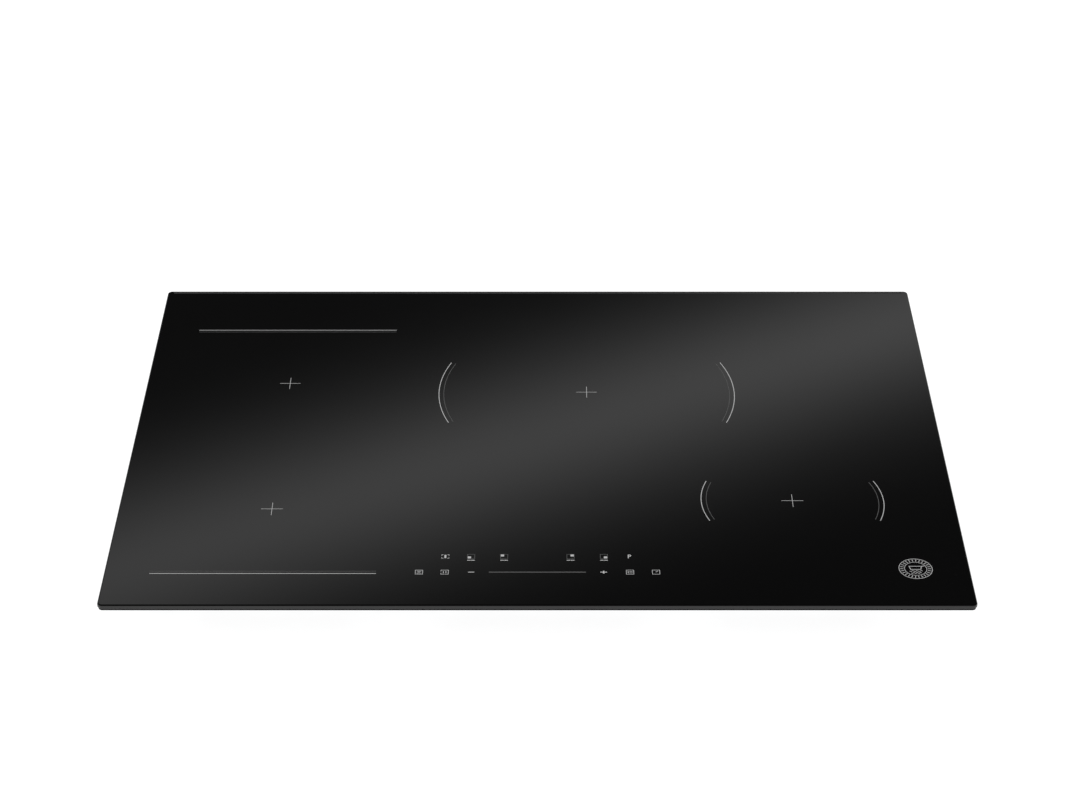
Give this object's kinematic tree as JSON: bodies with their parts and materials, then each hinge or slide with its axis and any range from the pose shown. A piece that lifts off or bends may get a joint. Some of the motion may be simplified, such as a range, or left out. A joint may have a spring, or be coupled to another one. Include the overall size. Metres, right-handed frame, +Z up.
{
  "type": "induction cooktop",
  "caption": "Built-in induction hob: a black glass-ceramic plate with printed zones over a sheet steel casing with spring-mounted coils, fans, touch controls and swinging worktop clamps.",
  "frame": {"origin": "middle of the underside of the casing, which is the middle of the glass seen from above", "axes": "+X to the right along the front edge, +Y from the front (controls) to the rear, +Z up out of the glass"},
  "size_m": [0.75, 0.53, 0.054],
  "materials": {
    "print_ink": "matte",
    "black_glass": "polished",
    "silicone": "satin",
    "seal_foam": "matte",
    "galvanised_steel": "satin",
    "frame_steel": "satin",
    "clamp_steel": "satin",
    "zinc_fasteners": "bright",
    "spring_steel": "bright",
    "box_plastic": "matte",
    "cover_plastic": "matte",
    "block_plastic": "matte",
    "link_brass": "bright",
    "tray_aluminium": "satin",
    "former_plastic": "matte",
    "ferrite": "matte",
    "litz_copper": "satin",
    "mica_sheet": "matte",
    "sensor_cap": "gloss",
    "wire_cover": "satin",
    "post_plastic": "matte",
    "circuit_board": "satin",
    "device_plastic": "matte",
    "capacitor_film": "gloss",
    "choke_winding": "satin",
    "fan_plastic": "satin",
    "holder_plastic": "matte",
    "pad_foam": "matte",
    "light_box": "gloss",
    "ribbon_cover": "satin"
  },
  "bodies": {
    "hob": {"glass_top": "black_glass", "glass_bond": "silicone", "seal_strips": "seal_foam", "base_casing": "galvanised_steel", "glass_frame": "frame_steel", "casing_screws": "zinc_fasteners", "clamp_fasteners": "zinc_fasteners", "cover_hinge_pin": "zinc_fasteners", "terminal_screws": "zinc_fasteners", "flex_springs": "spring_steel", "centre_springs": "spring_steel", "right_springs": "spring_steel", "terminal_box": "box_plastic", "terminal_face": "box_plastic", "cable_inlet": "box_plastic", "terminal_block": "block_plastic", "terminal_links": "link_brass", "heatsinks": "tray_aluminium", "flex_leads": "wire_cover", "centre_leads": "wire_cover", "right_leads": "wire_cover", "mains_leads": "wire_cover", "support_posts": "post_plastic", "power_boards": "circuit_board", "filter_board": "circuit_board", "control_board": "circuit_board", "power_transistors": "device_plastic", "capacitors": "capacitor_film", "filter_chokes": "choke_winding", "fan_housings": "fan_plastic", "air_ducts": "fan_plastic", "control_holder": "holder_plastic", "touch_pads": "pad_foam", "display_modules": "light_box", "ribbon_cable": "ribbon_cover"},
    "left_impeller": {"fan_rotor_left": "fan_plastic"},
    "right_impeller": {"fan_rotor_right": "fan_plastic"},
    "terminal_lid": {"terminal_cover": "cover_plastic"},
    "clamp_front_left": {"clamp_arm_front_left": "clamp_steel"},
    "clamp_front_right": {"clamp_arm_front_right": "clamp_steel"},
    "clamp_rear_left": {"clamp_arm_rear_left": "clamp_steel"},
    "clamp_rear_right": {"clamp_arm_rear_right": "clamp_steel"},
    "flex_coil": {"flex_tray": "tray_aluminium", "flex_former": "former_plastic", "flex_ferrites": "ferrite", "flex_winding": "litz_copper", "flex_mica": "mica_sheet", "flex_sensor": "sensor_cap"},
    "centre_coil": {"centre_tray": "tray_aluminium", "centre_former": "former_plastic", "centre_ferrites": "ferrite", "centre_winding": "litz_copper", "centre_mica": "mica_sheet", "centre_sensor": "sensor_cap"},
    "right_coil": {"right_tray": "tray_aluminium", "right_former": "former_plastic", "right_ferrites": "ferrite", "right_winding": "litz_copper", "right_mica": "mica_sheet", "right_sensor": "sensor_cap"}
  },
  "joints": [
    {"name": "left_fan_spin", "type": "hinge", "parent": "hob", "child": "left_impeller", "pos_m": [-0.238, 0.112, 0.012], "axis": [0, 0, 1], "continuous": true},
    {"name": "right_fan_spin", "type": "hinge", "parent": "hob", "child": "right_impeller", "pos_m": [0.116, 0.112, 0.012], "axis": [0, 0, 1], "continuous": true},
    {"name": "terminal_lid_hinge", "type": "hinge", "parent": "hob", "child": "terminal_lid", "pos_m": [0.234, 0.2428, 0.0062], "axis": [-1, 0, 0], "range_deg": [0, 90]},
    {"name": "clamp_front_left_swing", "type": "hinge", "parent": "hob", "child": "clamp_front_left", "pos_m": [-0.345, -0.15, 0.0153], "axis": [0, 0, 1], "range_deg": [0, 90]},
    {"name": "clamp_front_right_swing", "type": "hinge", "parent": "hob", "child": "clamp_front_right", "pos_m": [0.345, -0.15, 0.0153], "axis": [0, 0, -1], "range_deg": [0, 90]},
    {"name": "clamp_rear_left_swing", "type": "hinge", "parent": "hob", "child": "clamp_rear_left", "pos_m": [-0.345, 0.15, 0.0153], "axis": [0, 0, -1], "range_deg": [0, 90]},
    {"name": "clamp_rear_right_swing", "type": "hinge", "parent": "hob", "child": "clamp_rear_right", "pos_m": [0.345, 0.15, 0.0153], "axis": [0, 0, 1], "range_deg": [0, 90]},
    {"name": "flex_coil_float", "type": "slide", "parent": "hob", "child": "flex_coil", "axis": [0, 0, 1], "range_m": [-0.003, 0], "stiffness_N_per_m": 6000, "springref_m": 0.006, "deforming": ["flex_springs", "flex_leads"]},
    {"name": "centre_coil_float", "type": "slide", "parent": "hob", "child": "centre_coil", "axis": [0, 0, 1], "range_m": [-0.003, 0], "stiffness_N_per_m": 6000, "springref_m": 0.006, "deforming": ["centre_springs", "centre_leads"]},
    {"name": "right_coil_float", "type": "slide", "parent": "hob", "child": "right_coil", "axis": [0, 0, 1], "range_m": [-0.003, 0], "stiffness_N_per_m": 3000, "springref_m": 0.006, "deforming": ["right_springs", "right_leads"]}
  ]
}
